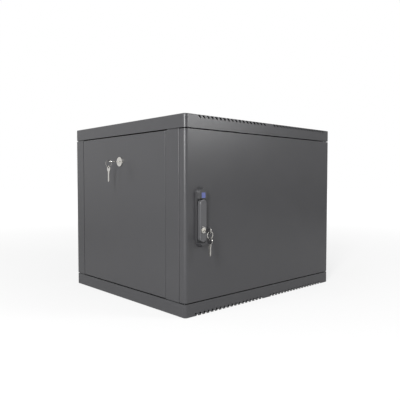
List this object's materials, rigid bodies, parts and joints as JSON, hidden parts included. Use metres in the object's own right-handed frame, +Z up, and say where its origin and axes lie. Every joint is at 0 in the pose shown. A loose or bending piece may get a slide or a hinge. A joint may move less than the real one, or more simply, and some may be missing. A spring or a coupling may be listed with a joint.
{
  "type": "wall mount network cabinet",
  "caption": "Shallow steel wall cabinet for rack equipment: pressed covers, corner posts, drilled rails, hinged solid door with a keyed swing handle, and lockable lift-off side panels.",
  "frame": {"origin": "middle of the footprint, on the underside of the bottom cover", "axes": "+Z up, +Y to the wall, +X to the right seen from the front; the door faces -Y"},
  "size_m": [0.6482, 0.5628, 0.48],
  "materials": {
    "powder_coated_steel": "fine textured satin powder coat",
    "zinc_plated_steel": "bright zinc plate",
    "nickel_plated_brass": "bright nickel plate",
    "black_plastic": "fine moulded texture",
    "blue_inlay": "satin",
    "nylon": "natural moulded nylon"
  },
  "bodies": {
    "cabinet": {"bottom_cable_plate": "powder_coated_steel", "bottom_cover": "powder_coated_steel", "bracket_screws": "zinc_plated_steel", "cable_plate_screws": "zinc_plated_steel", "left_front_post": "powder_coated_steel", "left_front_rail": "zinc_plated_steel", "left_lower_bracket": "powder_coated_steel", "left_rear_post": "powder_coated_steel", "left_rear_rail": "zinc_plated_steel", "left_upper_bracket": "powder_coated_steel", "lower_hinge_pin": "zinc_plated_steel", "post_screws": "zinc_plated_steel", "rail_screws": "zinc_plated_steel", "rear_panel": "powder_coated_steel", "rear_panel_screws": "zinc_plated_steel", "right_front_post": "powder_coated_steel", "right_front_rail": "zinc_plated_steel", "right_lower_bracket": "powder_coated_steel", "right_rear_post": "powder_coated_steel", "right_rear_rail": "zinc_plated_steel", "right_upper_bracket": "powder_coated_steel", "top_cable_plate": "powder_coated_steel", "top_cover": "powder_coated_steel", "upper_hinge_pin": "zinc_plated_steel"},
    "door": {"door_panel": "powder_coated_steel", "door_stiffeners": "powder_coated_steel", "hinge_bushes": "nylon", "handle_base": "black_plastic", "handle_inlay": "blue_inlay", "handle_nut": "black_plastic"},
    "latch_spindle": {"handle_spindle": "zinc_plated_steel", "latch_cam": "zinc_plated_steel", "latch_cam_screw": "zinc_plated_steel"},
    "lever": {"handle_lever": "black_plastic", "lever_pin": "zinc_plated_steel", "handle_lock_housing": "nickel_plated_brass"},
    "lever_lock_plug": {"handle_lock_plug": "nickel_plated_brass", "handle_key": "nickel_plated_brass"},
    "handle_ring": {"handle_key_ring": "nickel_plated_brass"},
    "handle_hanging_key": {"handle_spare_key": "nickel_plated_brass"},
    "left_panel": {"left_side_panel": "powder_coated_steel", "left_lock_housing": "nickel_plated_brass", "left_lock_nut": "zinc_plated_steel"},
    "left_plug": {"left_lock_plug": "nickel_plated_brass", "left_lock_cam": "zinc_plated_steel", "left_cam_screw": "zinc_plated_steel", "left_panel_key": "nickel_plated_brass"},
    "left_ring": {"left_panel_key_ring": "nickel_plated_brass"},
    "left_hanging_key": {"left_panel_spare_key": "nickel_plated_brass"},
    "right_panel": {"right_side_panel": "powder_coated_steel", "right_lock_housing": "nickel_plated_brass", "right_lock_nut": "zinc_plated_steel"},
    "right_plug": {"right_lock_plug": "nickel_plated_brass", "right_lock_cam": "zinc_plated_steel", "right_cam_screw": "zinc_plated_steel"}
  },
  "joints": [
    {"name": "door_hinge", "type": "hinge", "parent": "cabinet", "child": "door", "pos_m": [0.294, -0.2495, 0.24], "axis": [0, 0, 1], "range_deg": [0, 180]},
    {"name": "handle_turn", "type": "hinge", "parent": "door", "child": "latch_spindle", "pos_m": [-0.253, -0.26, 0.269], "axis": [0, -1, 0], "range_deg": [0, 90]},
    {"name": "handle_lift", "type": "hinge", "parent": "latch_spindle", "child": "lever", "pos_m": [-0.253, -0.2669, 0.275], "axis": [-1, 0, 0], "range_deg": [0, 25]},
    {"name": "handle_lock_turn", "type": "hinge", "parent": "lever", "child": "lever_lock_plug", "pos_m": [-0.253, -0.27, 0.2065], "axis": [0, -1, 0], "range_deg": [0, 90]},
    {"name": "handle_ring_swing", "type": "hinge", "parent": "lever_lock_plug", "child": "handle_ring", "pos_m": [-0.253, -0.2948, 0.2065], "axis": [1, 0, 0], "range_deg": [-25, 25]},
    {"name": "handle_spare_key_swing", "type": "hinge", "parent": "handle_ring", "child": "handle_hanging_key", "pos_m": [-0.253, -0.2948, 0.1863], "axis": [1, 0, 0], "range_deg": [-25, 25]},
    {"name": "left_panel_removal", "type": "slide", "parent": "cabinet", "child": "left_panel", "axis": [-1, 0, 0], "range_m": [0, 0.06]},
    {"name": "left_lock_turn", "type": "hinge", "parent": "left_panel", "child": "left_plug", "pos_m": [-0.3, 0.0128, 0.3753], "axis": [1, 0, 0], "range_deg": [0, 90]},
    {"name": "left_ring_swing", "type": "hinge", "parent": "left_plug", "child": "left_ring", "pos_m": [-0.3357, 0.0128, 0.3753], "axis": [1, 0, 0], "range_deg": [-15, 15]},
    {"name": "left_spare_key_swing", "type": "hinge", "parent": "left_ring", "child": "left_hanging_key", "pos_m": [-0.3357, 0.0128, 0.3594], "axis": [1, 0, 0], "range_deg": [-25, 25]},
    {"name": "right_panel_removal", "type": "slide", "parent": "cabinet", "child": "right_panel", "axis": [1, 0, 0], "range_m": [0, 0.06]},
    {"name": "right_lock_turn", "type": "hinge", "parent": "right_panel", "child": "right_plug", "pos_m": [0.3, 0.0128, 0.3753], "axis": [1, 0, 0], "range_deg": [0, 90]}
  ]
}
